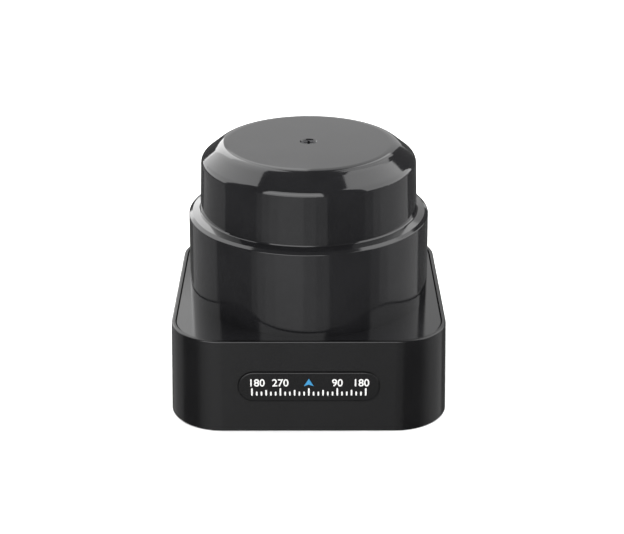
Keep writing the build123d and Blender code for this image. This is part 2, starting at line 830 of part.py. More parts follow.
with BuildPart() as stator_core:
    with BuildSketch(Plane.XY.offset(stator_core_z)):
        with BuildSketch(mode=Mode.PRIVATE) as shoe_gaps:
            with PolarLocations((shoe_radius + core_outer_radius) / 2, tooth_count, 180 / tooth_count):
                Rectangle(2 * (core_outer_radius - shoe_radius), shoe_gap_width)
        Circle(core_outer_radius)
        Circle(shoe_radius, mode=Mode.SUBTRACT)
        add(shoe_gaps.sketch, mode=Mode.SUBTRACT)
        Circle(core_ring_radius)
        with PolarLocations(shoe_radius / 2, tooth_count):
            Rectangle(shoe_radius + fit_gap, tooth_width)
        Circle(collar_radius + fit_gap, mode=Mode.SUBTRACT)
    extrude(amount=core_height)
stator_core.part.label = "stator_core"
export_step(stator_core.part, "parts/stator_core.step")

with BuildPart() as stator_coils:
    coil_middle = (coil_inner_radius + coil_outer_radius) / 2
    coil_length = coil_outer_radius - coil_inner_radius
    with PolarLocations(coil_middle, tooth_count):
        Box(coil_length, coil_width, core_height + 2 * coil_build)
    fillet(
        stator_coils.edges().filter_by(lambda e: abs(e.length - coil_length) < tolerance),
        coil_blend,
    )
    with PolarLocations(coil_middle, tooth_count):
        Box(
            coil_length + 1,
            tooth_width + 2 * fit_gap,
            core_height + 2 * fit_gap,
            mode=Mode.SUBTRACT,
        )
stator_coils.part.position = (0, 0, stator_core_z + core_height / 2)
stator_coils.part.label = "stator_coils"
export_step(stator_coils.part, "parts/stator_coils.step")

stator_board = disc(
    collar_radius + hole_gap, stator_board_radius, stator_board_z, stator_board_thickness
)
stator_board.part.label = "stator_board"
export_step(stator_board.part, "parts/stator_board.step")

rotor_yoke = turned(
    [
        (hub_outer_radius + fit_gap, yoke_top_z),
        (hub_outer_radius + fit_gap, yoke_top_z - yoke_plate),
        (yoke_inner_radius, yoke_top_z - yoke_plate),
        (yoke_inner_radius, yoke_bottom_z),
        (yoke_outer_radius, yoke_bottom_z),
        (yoke_outer_radius, yoke_top_z - yoke_chamfer),
        (yoke_outer_radius - yoke_chamfer, yoke_top_z),
    ]
)
rotor_yoke.part.label = "rotor_yoke"
export_step(rotor_yoke.part, "parts/rotor_yoke.step")

rotor_magnet = disc(
    magnet_inner_radius, yoke_inner_radius - fit_gap, yoke_bottom_z + magnet_inset, magnet_height
)
rotor_magnet.part.label = "rotor_magnet"
export_step(rotor_magnet.part, "parts/rotor_magnet.step")

# ---- Ball bearings, 5 x 10 x 4 ---------------------------------------------------------------
bearing_outer_radius = 5.0
bearing_width = 4.0
pitch_radius = 3.75
ball_radius = 0.74
race_radius = 0.78
inner_race_edge = 3.25
outer_race_edge = 4.25
ball_count = 8
cage_inner_radius = 3.4
cage_outer_radius = 4.1
cage_height = 2.4
pocket_radius = ball_radius + 0.05
pocket_length = 2.0


def bearing_ring(inner_radius, outer_radius, z):
    """Ring of a deep-groove bearing, with the groove round its track."""
    with BuildPart() as ring:
        with BuildSketch(Plane.XZ):
            with Locations(((inner_radius + outer_radius) / 2, z + bearing_width / 2)):
                Rectangle(outer_radius - inner_radius, bearing_width)
            with Locations((pitch_radius, z + bearing_width / 2)):
                Circle(race_radius, mode=Mode.SUBTRACT)
        revolve(axis=Axis.Z)
    return ring


for place, bearing_z in (("lower", lower_bearing_z), ("upper", upper_bearing_z)):
    inner_ring = bearing_ring(spindle_radius, inner_race_edge, bearing_z)
    inner_ring.part.label = f"{place}_bearing_inner_ring"
    export_step(inner_ring.part, f"parts/{place}_bearing_inner_ring.step")

    outer_ring = bearing_ring(outer_race_edge, bearing_outer_radius, bearing_z)
    outer_ring.part.label = f"{place}_bearing_outer_ring"
    export_step(outer_ring.part, f"parts/{place}_bearing_outer_ring.step")

    ball_plane = Plane.XY.offset(bearing_z + bearing_width / 2)
    with BuildPart(ball_plane) as balls:
        with PolarLocations(pitch_radius, ball_count):
            Sphere(ball_radius)
    balls.part.label = f"{place}_bearing_balls"
    export_step(balls.part, f"parts/{place}_bearing_balls.step")

    with BuildPart(ball_plane) as cage:
        Cylinder(cage_outer_radius, cage_height)
        Cylinder(cage_inner_radius, cage_height, mode=Mode.SUBTRACT)
        with PolarLocations(pitch_radius, ball_count):
            Cylinder(pocket_radius, pocket_length, rotation=(0, 90, 0), mode=Mode.SUBTRACT)
    cage.part.label = f"{place}_bearing_cage"
    export_step(cage.part, f"parts/{place}_bearing_cage.step")

# conical spring washer that preloads the upper inner ring
spring_z = upper_bearing_z + bearing_width
spring_thickness = 0.2
spring_flat = 0.15
preload_spring = turned(
    [
        (spindle_radius + hole_gap, clip_z),
        (spindle_radius + hole_gap, clip_z - spring_thickness),
        (inner_race_edge - spring_flat, spring_z),
        (inner_race_edge, spring_z),
        (inner_race_edge, spring_z + spring_thickness),
        (spindle_radius + hole_gap + spring_flat, clip_z),
    ]
)
preload_spring.part.label = "preload_spring"
export_step(preload_spring.part, "parts/preload_spring.step")

# E-shaped clip with an open side and two grip holes
clip_radius = 3.5
clip_mouth_width = 3.4
grip_hole_x = 2.6
grip_hole_radius = 0.45
with BuildPart() as retaining_clip:
    with BuildSketch(Plane.XY.offset(clip_z)):
        Circle(clip_radius)
        Circle(clip_groove_radius + fit_gap, mode=Mode.SUBTRACT)
        with Locations((0, -clip_radius / 2)):
            Rectangle(clip_mouth_width, clip_radius, mode=Mode.SUBTRACT)
        with Locations((grip_hole_x, grip_hole_radius), (-grip_hole_x, grip_hole_radius)):
            Circle(grip_hole_radius, mode=Mode.SUBTRACT)
    extrude(amount=clip_thickness)
retaining_clip.part.label = "retaining_clip"
export_step(retaining_clip.part, "parts/retaining_clip.step")

# ---- Contactless power: fixed coil board below, turning coil above ---------------------------
coil_board_thickness = 1.0
coil_board_radius = 21.7
coil_board_bore = 9.0
coil_board_screw_length = 4.2
ferrite_radii = (10.6, 16.6)
power_coil_radii = (11.1, 16.1)
ferrite_thickness = 0.7
power_coil_thickness = 0.6
coil_board_top_z = coil_board_z + coil_board_thickness
rotor_ferrite_z = rotor_disc_z - ferrite_thickness

with BuildPart() as coil_board:
    with BuildSketch(Plane.XY.offset(coil_board_z)):
        Circle(coil_board_radius)
        Circle(coil_board_bore, mode=Mode.SUBTRACT)
        with Locations(*plate_screw_sites):
            Circle(plate_thread_radius + hole_gap, mode=Mode.SUBTRACT)
    extrude(amount=coil_board_thickness)
coil_board.part.label = "coil_board"
export_step(coil_board.part, "parts/coil_board.step")

coil_board_screws = pan_head_screws(
    plate_screw_sites,
    coil_board_top_z,
    m2_head,
    (plate_thread_radius - thread_gap, coil_board_screw_length),
    upward=False,
)
coil_board_screws.part.label = "coil_board_screws"
export_step(coil_board_screws.part, "parts/coil_board_screws.step")

fixed_ferrite = disc(*ferrite_radii, coil_board_top_z, ferrite_thickness)
fixed_ferrite.part.label = "fixed_ferrite"
export_step(fixed_ferrite.part, "parts/fixed_ferrite.step")

fixed_power_coil = disc(
    *power_coil_radii, coil_board_top_z + ferrite_thickness, power_coil_thickness
)
fixed_power_coil.part.label = "fixed_power_coil"
export_step(fixed_power_coil.part, "parts/fixed_power_coil.step")

rotor_ferrite = disc(*ferrite_radii, rotor_ferrite_z, ferrite_thickness)
rotor_ferrite.part.label = "rotor_ferrite"
export_step(rotor_ferrite.part, "parts/rotor_ferrite.step")

rotor_power_coil = disc(
    *power_coil_radii, rotor_ferrite_z - power_coil_thickness, power_coil_thickness
)
rotor_power_coil.part.label = "rotor_power_coil"
export_step(rotor_power_coil.part, "parts/rotor_power_coil.step")

# ---- Rotor hub, encoder and rotor board ------------------------------------------------------
rotor_disc_radius = 17.0
yoke_flange_radius = 8.4
yoke_flange_thickness = 0.8
hub_bottom_z = 24.1
hub_lip = 0.2
hub_top_z = upper_bearing_z + bearing_width + hub_lip
rotor_screw_radius = 14.2
rotor_screw_angles = (45, 135, 270)
rotor_screw_sites = [polar(rotor_screw_radius, angle) for angle in rotor_screw_angles]
rotor_thread_radius = 1.0
encoder_radius = 19.6
encoder_thickness = 0.3
encoder_slots = 40
encoder_slot_size = (1.3, 1.2)
encoder_slot_radius = 18.4
encoder_bore = 11.2
encoder_top_z = rotor_disc_top_z + encoder_thickness
rotor_board_radius = 19.8
rotor_board_thickness = 1.0
rotor_board_bore = 7.1
rotor_boss_radius = 2.2
rotor_board_top_z = rotor_board_z + rotor_board_thickness

with BuildPart() as rotor_hub:
    seat_radius = bearing_outer_radius + fit_gap / 2
    bore_radius = outer_race_edge + hole_gap
    with BuildSketch(Plane.XZ):
        with BuildLine():
            Polyline(
                (seat_radius, hub_bottom_z),
                (hub_outer_radius, hub_bottom_z),
                (hub_outer_radius, yoke_top_z),
                (yoke_flange_radius, yoke_top_z),
                (yoke_flange_radius, yoke_top_z + yoke_flange_thickness),
                (hub_outer_radius, yoke_top_z + yoke_flange_thickness),
                (hub_outer_radius, rotor_disc_z),
                (rotor_disc_radius, rotor_disc_z),
                (rotor_disc_radius, rotor_disc_top_z),
                (hub_outer_radius, rotor_disc_top_z),
                (hub_outer_radius, hub_top_z),
                (seat_radius, hub_top_z),
                (seat_radius, upper_bearing_z),
                (bore_radius, upper_bearing_z),
                (bore_radius, lower_bearing_z + bearing_width),
                (seat_radius, lower_bearing_z + bearing_width),
                close=True,
            )
        make_face()
    revolve(axis=Axis.Z)
    with BuildSketch(Plane.XY.offset(rotor_disc_z)):
        with Locations(*rotor_screw_sites):
            Circle(rotor_thread_radius)
    extrude(amount=rotor_disc_top_z - rotor_disc_z, mode=Mode.SUBTRACT)
rotor_hub.part.label = "rotor_hub"
export_step(rotor_hub.part, "parts/rotor_hub.step")

with BuildPart() as encoder_disc:
    with BuildSketch(Plane.XY.offset(rotor_disc_top_z)):
        Circle(encoder_radius)
        Circle(encoder_bore, mode=Mode.SUBTRACT)
        with Locations(*rotor_screw_sites):
            Circle(rotor_thread_radius + hole_gap, mode=Mode.SUBTRACT)
        # one slot is left out as the index mark
        slot_step = 360 / encoder_slots
        with PolarLocations(encoder_slot_radius, encoder_slots - 1, 0, 360 - slot_step):
            Rectangle(*encoder_slot_size, mode=Mode.SUBTRACT)
    extrude(amount=encoder_thickness)
encoder_disc.part.label = "encoder_disc"
export_step(encoder_disc.part, "parts/encoder_disc.step")

# fork-shaped light barrier that straddles the rim of the encoder disc
sensor_inner_radius = 17.6
sensor_outer_radius = 21.4
sensor_throat_radius = 20.1
sensor_width = 4.4
sensor_top_z = 34.3
sensor_gap = 0.5             # free height above and below the encoder disc
with BuildPart() as encoder_sensor:
    with BuildSketch(Plane.YZ.offset(-sensor_width / 2)):
        with BuildLine():
            Polyline(
                (sensor_inner_radius, coil_board_top_z),
                (sensor_outer_radius, coil_board_top_z),
                (sensor_outer_radius, sensor_top_z),
                (sensor_inner_radius, sensor_top_z),
                (sensor_inner_radius, encoder_top_z + sensor_gap),
                (sensor_throat_radius, encoder_top_z + sensor_gap),
                (sensor_throat_radius, rotor_disc_top_z - sensor_gap),
                (sensor_inner_radius, rotor_disc_top_z - sensor_gap),
                close=True,
            )
        make_face()
    extrude(amount=sensor_width)
encoder_sensor.part.label = "encoder_sensor"
export_step(encoder_sensor.part, "parts/encoder_sensor.step")

with BuildPart() as rotor_spacers:
    with BuildSketch(Plane.XY.offset(encoder_top_z)):
        with Locations(*rotor_screw_sites):
            Circle(rotor_boss_radius)
            Circle(rotor_thread_radius + hole_gap, mode=Mode.SUBTRACT)
    extrude(amount=rotor_board_z - encoder_top_z)
rotor_spacers.part.label = "rotor_spacers"
export_step(rotor_spacers.part, "parts/rotor_spacers.step")

with BuildPart() as rotor_board:
    with BuildSketch(Plane.XY.offset(rotor_board_z)):
        Circle(rotor_board_radius)
        Circle(rotor_board_bore, mode=Mode.SUBTRACT)
        with Locations(*rotor_screw_sites):
            Circle(rotor_thread_radius + hole_gap, mode=Mode.SUBTRACT)
    extrude(amount=rotor_board_thickness)
rotor_board.part.label = "rotor_board"
export_step(rotor_board.part, "parts/rotor_board.step")

# timing, amplifier and driver chips: radius, angle, length, width
rotor_chips = (
    (12.0, 0, 7.0, 7.0),
    (12.0, 180, 6.0, 6.0),
    (12.4, 90, 4.0, 8.0),
    (14.2, 225, 3.0, 4.0),
    (14.2, 315, 3.0, 4.0),
)
rotor_chip_height = 1.2
with BuildPart() as rotor_board_chips:
    for radius, angle, length, width in rotor_chips:
        with BuildSketch(Plane.XY.offset(rotor_board_top_z)):
            with Locations(Location(polar(radius, angle) + (0,), angle)):
                Rectangle(length, width)
        extrude(amount=rotor_chip_height)
rotor_board_chips.part.label = "rotor_board_chips"
export_step(rotor_board_chips.part, "parts/rotor_board_chips.step")

# ---- Optical head: block with two barrels, lenses, light source and detector -----------------
barrel_x = 9.4
barrel_radius = 5.9
barrel_front_y = -14.6
barrel_back_y = 3.4
lens_radius = 5.4
lens_seat_y = -11.2
lens_edge = 1.2
lens_crown = 1.5
can_bore_y = -0.2
light_bore_radius = 4.3
can_bore_radius = 2.85
post_bore_radius = 4.4
pedestal_margin = 0.6
optics_plate_radius = 20.6
axis_plane = Plane(origin=(0, 0, optical_axis_z), x_dir=(1, 0, 0), z_dir=(0, -1, 0))
barrel_sites = [(-barrel_x, 0), (barrel_x, 0)]

with BuildPart() as optics_block:
    with BuildSketch(Plane.XY.offset(optics_plate_z)):
        Circle(optics_plate_radius)
    extrude(amount=optics_plate_top_z - optics_plate_z)
    with BuildSketch(Plane.XY.offset(rotor_board_top_z)):
        with Locations(*rotor_screw_sites):
            Circle(rotor_boss_radius)
    extrude(amount=optics_plate_z - rotor_board_top_z)
    # pedestals and barrels
    pedestal_depth = barrel_back_y - barrel_front_y - pedestal_margin
    with BuildSketch(Plane.XY.offset(optics_plate_top_z)):
        with Locations(*[(x, barrel_back_y - pedestal_depth / 2) for x, _ in barrel_sites]):
            Rectangle(2 * (barrel_radius - pedestal_margin), pedestal_depth)
    extrude(amount=optical_axis_z - optics_plate_top_z)
    with BuildSketch(axis_plane.offset(-barrel_back_y)):
        with Locations(*barrel_sites):
            Circle(barrel_radius)
    extrude(amount=barrel_back_y - barrel_front_y)
    # stepped bores, from the lens seat in front to the can at the back
    for radius, start_y, end_y in (
        (lens_radius + thread_gap, barrel_front_y, lens_seat_y),
        (light_bore_radius, lens_seat_y, can_bore_y),
        (can_bore_radius, can_bore_y, barrel_back_y),
    ):
        with BuildSketch(axis_plane.offset(-start_y)):
            with Locations(*barrel_sites):
                Circle(radius)
        extrude(amount=start_y - end_y, mode=Mode.SUBTRACT)
    # clearance round the spindle and the screw holes
    with BuildSketch(Plane.XY.offset(rotor_board_top_z)):
        Circle(post_bore_radius)
        with Locations(*rotor_screw_sites):
            Circle(rotor_thread_radius + hole_gap)
    extrude(amount=overall_height - rotor_board_top_z, mode=Mode.SUBTRACT)
optics_block.part.label = "optics_block"
export_step(optics_block.part, "parts/optics_block.step")

rotor_screws = pan_head_screws(
    rotor_screw_sites,
    optics_plate_top_z,
    m2_head,
    (rotor_thread_radius - thread_gap, optics_plate_top_z - rotor_disc_z - hole_gap),
    upward=False,
)
rotor_screws.part.label = "rotor_screws"
export_step(rotor_screws.part, "parts/rotor_screws.step")


def lens(x):
    """Plano-convex lens on the optical axis at x, with its crown to the front."""
    edge_y = lens_seat_y - lens_edge
    crown_radius = (lens_radius**2 + lens_crown**2) / (2 * lens_crown)
    with BuildPart() as glass:
        with BuildSketch(axis_plane.offset(-lens_seat_y)):
            with Locations((x, 0)):
                Circle(lens_radius)
        extrude(amount=lens_edge + lens_crown)
        with Locations((x, edge_y - lens_crown + crown_radius, optical_axis_z)):
            Sphere(crown_radius, mode=Mode.INTERSECT)
    return glass


emitter_lens = lens(-barrel_x)
emitter_lens.part.label = "emitter_lens"
export_step(emitter_lens.part, "parts/emitter_lens.step")

receiver_lens = lens(barrel_x)
receiver_lens.part.label = "receiver_lens"
export_step(receiver_lens.part, "parts/receiver_lens.step")

optics_board_size = (33.0, 10.4)
optics_board_corner = 0.8
optics_board_thickness = 1.0
optics_board_back_y = barrel_back_y + optics_board_thickness
lead_circle_radius = 1.27
lead_radius = 0.22
lead_length = 2.0
can_height = 3.4
can_flange_thickness = 1.2
can_window_depth = 0.3

with BuildPart() as optics_board:
    board_middle_z = optics_plate_top_z + optics_board_size[1] / 2
    with BuildSketch(axis_plane.offset(-optics_board_back_y)):
        with Locations((0, board_middle_z - optical_axis_z)):
            RectangleRounded(*optics_board_size, optics_board_corner)
        for x, _ in barrel_sites:
            with Locations((x, 0)):
                with PolarLocations(lead_circle_radius, 3, 90):
                    Circle(lead_radius + hole_gap, mode=Mode.SUBTRACT)
    extrude(amount=optics_board_thickness)
optics_board.part.label = "optics_board"
export_step(optics_board.part, "parts/optics_board.step")


def metal_can(x, flange_radius, can_radius, window_radius):
    """Hermetic can with a flange, a dished window and three leads through the board."""
    with BuildPart() as can:
        with BuildSketch(axis_plane.offset(-barrel_back_y)):
            with Locations((x, 0)):
                Circle(flange_radius)
        extrude(amount=can_flange_thickness)
        with BuildSketch(axis_plane.offset(-barrel_back_y)):
            with Locations((x, 0)):
                Circle(can_radius)
        extrude(amount=can_height)
        with BuildSketch(axis_plane.offset(can_height - barrel_back_y)):
            with Locations((x, 0)):
                Circle(window_radius)
        extrude(amount=-can_window_depth, mode=Mode.SUBTRACT)
        with BuildSketch(axis_plane.offset(-barrel_back_y)):
            with Locations((x, 0)):
                with PolarLocations(lead_circle_radius, 3, 90):
                    Circle(lead_radius)
        extrude(amount=-lead_length)
    return can


laser_diode = metal_can(-barrel_x, 2.8, 1.8, 0.8)
laser_diode.part.label = "laser_diode"
export_step(laser_diode.part, "parts/laser_diode.step")

photodetector = metal_can(barrel_x, 2.7, 2.3, 1.6)
photodetector.part.label = "photodetector"
export_step(photodetector.part, "parts/photodetector.step")

# upright wall between the two beams, notched over the front screw
baffle_thickness = 0.9
baffle_front_y = -20.4
baffle_back_y = -2.8
baffle_foot_back_y = -4.6
baffle_top_z = 51.3
baffle_slope = (2.6, 2.0)    # cut corner under the cone of the window
notch_y = (-16.4, -12.0)
notch_height = 1.8
with BuildPart() as light_baffle:
    with BuildSketch(Plane.YZ.offset(-baffle_thickness / 2)):
        with BuildLine():
            Polyline(
                (baffle_front_y, optics_plate_top_z),
                (notch_y[0], optics_plate_top_z),
                (notch_y[0], optics_plate_top_z + notch_height),
                (notch_y[1], optics_plate_top_z + notch_height),
                (notch_y[1], optics_plate_top_z),
                (baffle_foot_back_y, optics_plate_top_z),
                (baffle_back_y, optics_plate_top_z + notch_height),
                (baffle_back_y, baffle_top_z),
                (baffle_front_y + baffle_slope[0], baffle_top_z),
                (baffle_front_y, baffle_top_z - baffle_slope[1]),
                close=True,
            )
        make_face()
    extrude(amount=baffle_thickness)
light_baffle.part.label = "light_baffle"
export_step(light_baffle.part, "parts/light_baffle.step")

# counterweight for the glass in front, a sector of a ring
weight_radii = (13.8, 19.6)
weight_height = 3.4
weight_angles = (60, 90, 120)
with BuildPart() as balance_weight:
    with BuildSketch(Plane.XY.offset(optics_plate_top_z)):
        Circle(weight_radii[1])
        Circle(weight_radii[0], mode=Mode.SUBTRACT)
        with BuildLine():
            Polyline((0, 0), *[polar(base_width, angle) for angle in weight_angles], close=True)
        make_face(mode=Mode.INTERSECT)
    extrude(amount=weight_height)
balance_weight.part.label = "balance_weight"
export_step(balance_weight.part, "parts/balance_weight.step")
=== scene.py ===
import json
from math import cos, pi, radians, sin, tan

import bmesh
import bpy
from mathutils import Matrix, Vector


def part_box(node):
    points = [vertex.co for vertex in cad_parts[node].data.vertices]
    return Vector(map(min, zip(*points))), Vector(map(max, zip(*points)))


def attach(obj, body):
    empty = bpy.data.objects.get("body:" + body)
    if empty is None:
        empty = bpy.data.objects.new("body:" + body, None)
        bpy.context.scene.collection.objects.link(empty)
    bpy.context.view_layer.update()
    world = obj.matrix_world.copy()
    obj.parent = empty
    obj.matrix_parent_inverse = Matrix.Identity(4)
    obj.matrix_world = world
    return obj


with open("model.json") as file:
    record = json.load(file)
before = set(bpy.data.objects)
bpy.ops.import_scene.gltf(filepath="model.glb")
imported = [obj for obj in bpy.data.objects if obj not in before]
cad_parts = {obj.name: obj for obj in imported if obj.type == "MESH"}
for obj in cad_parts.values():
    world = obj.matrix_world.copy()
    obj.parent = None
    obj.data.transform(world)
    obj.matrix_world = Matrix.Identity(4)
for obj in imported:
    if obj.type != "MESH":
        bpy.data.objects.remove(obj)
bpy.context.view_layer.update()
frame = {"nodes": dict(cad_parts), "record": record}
nodes = frame["nodes"]
scene = bpy.context.scene
MM = 0.001
WAVE_UNIT = 2 * pi / 20       # length of a wave texture's wave at scale 1
MIX_SOCKETS = (0, 6, 7)       # factor, first and second colour of a mix node
MIX_RESULT = 2                # and its mixed colour


# ---- Node helpers ------------------------------------------------------------------------------
class Shader:
    """A material's node tree, with short calls for the nodes used here. Sizes are in mm."""

    def __init__(self, name):
        self.material = bpy.data.materials.new(name)
        self.material.use_nodes = True
        self.tree = self.material.node_tree
        self.surface = self.tree.nodes["Principled BSDF"]
        self.place = self.node("ShaderNodeTexCoord").outputs["Object"]

    def node(self, kind, **settings):
        made = self.tree.nodes.new(kind)
        for key, value in settings.items():
            setattr(made, key, value)
        return made

    def feed(self, socket, value):
        if isinstance(value, bpy.types.NodeSocket):
            self.tree.links.new(value, socket)
        else:
            socket.default_value = value

    def set(self, **values):
        """Sets sockets of the shader, with underscores for the spaces in their names."""
        for key, value in values.items():
            self.feed(self.surface.inputs[key.replace("_", " ")], value)

    def stretched(self, x, y, z):
        """Object coordinates, scaled along each axis."""
        made = self.node("ShaderNodeMapping")
        self.feed(made.inputs["Vector"], self.place)
        made.inputs["Scale"].default_value = (x, y, z)
        return made.outputs["Vector"]

    def noise(self, size, detail=3.0, roughness=0.5, source=None):
        made = self.node("ShaderNodeTexNoise")
        self.feed(made.inputs["Vector"], source or self.place)
        made.inputs["Scale"].default_value = 1 / (size * MM)
        made.inputs["Detail"].default_value = detail
        made.inputs["Roughness"].default_value = roughness
        return made.outputs["Fac"]

    def cells(self, size, output="Distance", distance="EUCLIDEAN", source=None):
        made = self.node("ShaderNodeTexVoronoi", distance=distance)
        self.feed(made.inputs["Vector"], source or self.place)
        made.inputs["Scale"].default_value = 1 / (size * MM)
        return made.outputs[output]

    def lines(self, pitch, axis="Z"):
        """Straight bands across an axis."""
        made = self.node("ShaderNodeTexWave", wave_type="BANDS", bands_direction=axis)
        return self.waves(made, pitch, self.place)

    def rings(self, pitch, distortion=0.0):
        """Rings round the scan axis."""
        made = self.node("ShaderNodeTexWave", wave_type="RINGS", rings_direction="Z")
        made.inputs["Distortion"].default_value = distortion
        return self.waves(made, pitch, self.place)

    def waves(self, made, pitch, source):
        self.feed(made.inputs["Vector"], source)
        made.inputs["Scale"].default_value = WAVE_UNIT / (pitch * MM)
        return made.outputs["Fac"]

    def math(self, operation, first, second=0.0, third=0.0):
        made = self.node("ShaderNodeMath", operation=operation)
        for socket, value in zip(made.inputs, (first, second, third)):
            self.feed(socket, value)
        return made.outputs[0]

    def spread(self, source, low=0.0, high=1.0, start=0.3, end=0.7):
        """Maps a texture from start and end onto low and high, clamped."""
        made = self.node("ShaderNodeMapRange")
        self.feed(made.inputs["Value"], source)
        made.inputs["From Min"].default_value = start
        made.inputs["From Max"].default_value = end
        made.inputs["To Min"].default_value = low
        made.inputs["To Max"].default_value = high
        return made.outputs["Result"]

    def blend(self, fac, first, second):
        """Mixes two colours."""
        made = self.node("ShaderNodeMix", data_type="RGBA")
        for index, value in zip(MIX_SOCKETS, (fac, first, second)):
            self.feed(made.inputs[index], value)
        return made.outputs[MIX_RESULT]

    def bump(self, height, depth):
        made = self.node("ShaderNodeBump")
        made.inputs["Distance"].default_value = depth * MM
        self.feed(made.inputs["Height"], height)
        self.set(Normal=made.outputs["Normal"])

    def axis_of_normal(self, axis):
        """How far the surface faces along an axis of the object, from 0 to 1."""
        split = self.node("ShaderNodeSeparateXYZ")
        self.feed(split.inputs[0], self.node("ShaderNodeTexCoord").outputs["Normal"])
        return self.math("ABSOLUTE", split.outputs[axis])


def color(red, green, blue):
    return (red, green, blue, 1.0)


def scaled(value, factor):
    return tuple(min(1.0, part * factor) for part in value[:3]) + (1.0,)


# ---- Plastics, rubber, film and glass ------------------------------------------------------------
def moulded(name, tone, roughness, ior, grain, depth, lighter=1.35):
    """Moulding with a spark texture, flow unevenness and faint hair scratches."""
    s = Shader(name)
    broad = s.noise(9.0, 4.0)
    fine = s.noise(grain, 2.0, 0.65)
    s.set(Base_Color=s.blend(s.spread(broad), tone, scaled(tone, lighter)), IOR=ior)
    hairs = s.noise(0.9, 2.0, 0.5, s.stretched(1.0, 1.0, 0.06))
    mottled = s.math("MULTIPLY_ADD", broad, 0.6, s.math("MULTIPLY", fine, 0.4))
    worn = s.spread(hairs, 0.0, 0.05, 0.66, 0.74)
    level = s.spread(mottled, roughness - 0.03, roughness + 0.03, 0.35, 0.65)
    s.set(Roughness=s.math("ADD", level, worn))
    s.bump(s.math("ADD", fine, s.cells(grain * 1.7)), depth)
    return s


def filled_nylon(name, tone, fibre_tone, roughness):
    """Nylon with short glass fibres that show as pale streaks."""
    s = moulded(name, tone, roughness, 1.53, 0.3, 0.004, 1.12)
    fibres = s.noise(0.25, 1.0, 0.4, s.stretched(0.2, 1.0, 1.0))
    speck = s.spread(fibres, 0.0, 0.5, 0.6, 0.68)
    s.set(Base_Color=s.blend(speck, tone, fibre_tone), Subsurface_Weight=0.15)
    s.set(Subsurface_Radius=(1.0, 0.9, 0.7), Subsurface_Scale=0.0008)
    return s


def silicone(name):
    s = Shader(name)
    bloom = s.noise(2.5, 4.0)
    dust = s.cells(0.35)
    skin = s.blend(s.spread(bloom), color(0.016, 0.016, 0.017), color(0.03, 0.03, 0.031))
    s.set(Base_Color=skin)
    s.set(Roughness=s.spread(dust, 0.62, 0.8, 0.1, 0.6), IOR=1.41, Sheen_Weight=0.12)
    s.bump(s.math("ADD", dust, s.noise(0.12)), 0.004)
    return s


def label_film(name):
    """Matt silver polyester with a rolled grain."""
    s = Shader(name)
    grain = s.noise(0.35, 3.0, 0.6, s.stretched(0.06, 1.0, 1.0))
    cloud = s.noise(6.0)
    s.set(Base_Color=s.blend(s.spread(cloud), color(0.52, 0.53, 0.54), color(0.6, 0.61, 0.62)))
    s.set(Metallic=0.65, Roughness=s.spread(grain, 0.38, 0.5))
    s.bump(grain, 0.002)
    return s


def flex_film(name):
    """Amber polyimide over narrow copper tracks."""
    s = Shader(name)
    tracks = s.math("GREATER_THAN", s.lines(0.5, "Y"), 0.55)
    cloud = s.noise(1.8)
    amber = s.blend(s.spread(cloud), color(0.42, 0.17, 0.025), color(0.55, 0.25, 0.04))
    s.set(Base_Color=s.blend(tracks, amber, color(0.68, 0.34, 0.10)), IOR=1.7)
    s.set(Roughness=s.spread(cloud, 0.22, 0.32), Coat_Weight=0.3, Coat_Roughness=0.12)
    s.bump(s.lines(0.5, "Y"), 0.01)
    return s


def chip_epoxy(name):
    """Black moulding compound with silica specks and a matt eroded skin."""
    s = Shader(name)
    silica = s.cells(0.16)
    cloud = s.noise(1.4, 3.0)
    dark = s.blend(s.spread(cloud), color(0.022, 0.022, 0.024), color(0.034, 0.034, 0.036))
    speck = s.spread(silica, 0.25, 0.0, 0.0, 0.25)
    s.set(Base_Color=s.blend(speck, dark, color(0.11, 0.11, 0.11)))
    s.set(Roughness=s.spread(cloud, 0.48, 0.6), IOR=1.55)
    s.bump(s.math("ADD", silica, s.noise(0.08)), 0.006)
    return s


def ferrite(name):
    """Sintered ferrite: charcoal, with pores and tiny bright crystals."""
    s = Shader(name)
    grains = s.cells(0.22)
    pores_and_shade = s.spread(s.noise(0.5, 4.0, 0.7), 0.0, 1.0, 0.6, 0.72)
    grain_edge = s.spread(grains, 0.0, 1.0, 0.1, 0.6)
    body = s.blend(grain_edge, color(0.07, 0.07, 0.076), color(0.04, 0.04, 0.044))
    # the pores are painted near-black: painted shade in their hollows
    s.set(Base_Color=s.blend(pores_and_shade, body, color(0.015, 0.015, 0.016)), IOR=2.2)
    s.set(Roughness=s.spread(grains, 0.45, 0.65, 0.1, 0.6))
    s.bump(s.math("SUBTRACT", grains, pores_and_shade), 0.012)
    return s


def coated_glass(name):
    """Lens glass: clear, with a violet coating and a little dust."""
    s = Shader(name)
    dust = s.spread(s.noise(0.4, 3.0, 0.7), 0.0, 1.0, 0.62, 0.74)
    tint = s.node("ShaderNodeLayerWeight")
    tint.inputs["Blend"].default_value = 0.35
    coating = s.blend(tint.outputs["Facing"], color(0.90, 0.93, 0.98), color(0.62, 0.50, 0.85))
    s.set(Base_Color=coating, Transmission_Weight=0.95, IOR=1.52)
    s.set(Roughness=s.spread(dust, 0.01, 0.12, 0.0, 1.0), Specular_Tint=color(0.80, 0.72, 1.0))
    s.bump(dust, 0.0008)
    return s


# ---- Metals --------------------------------------------------------------------------------------
BRASS = color(0.78, 0.57, 0.27)
DARK_BRASS = color(0.66, 0.44, 0.18)
COPPER = color(0.74, 0.29, 0.11)


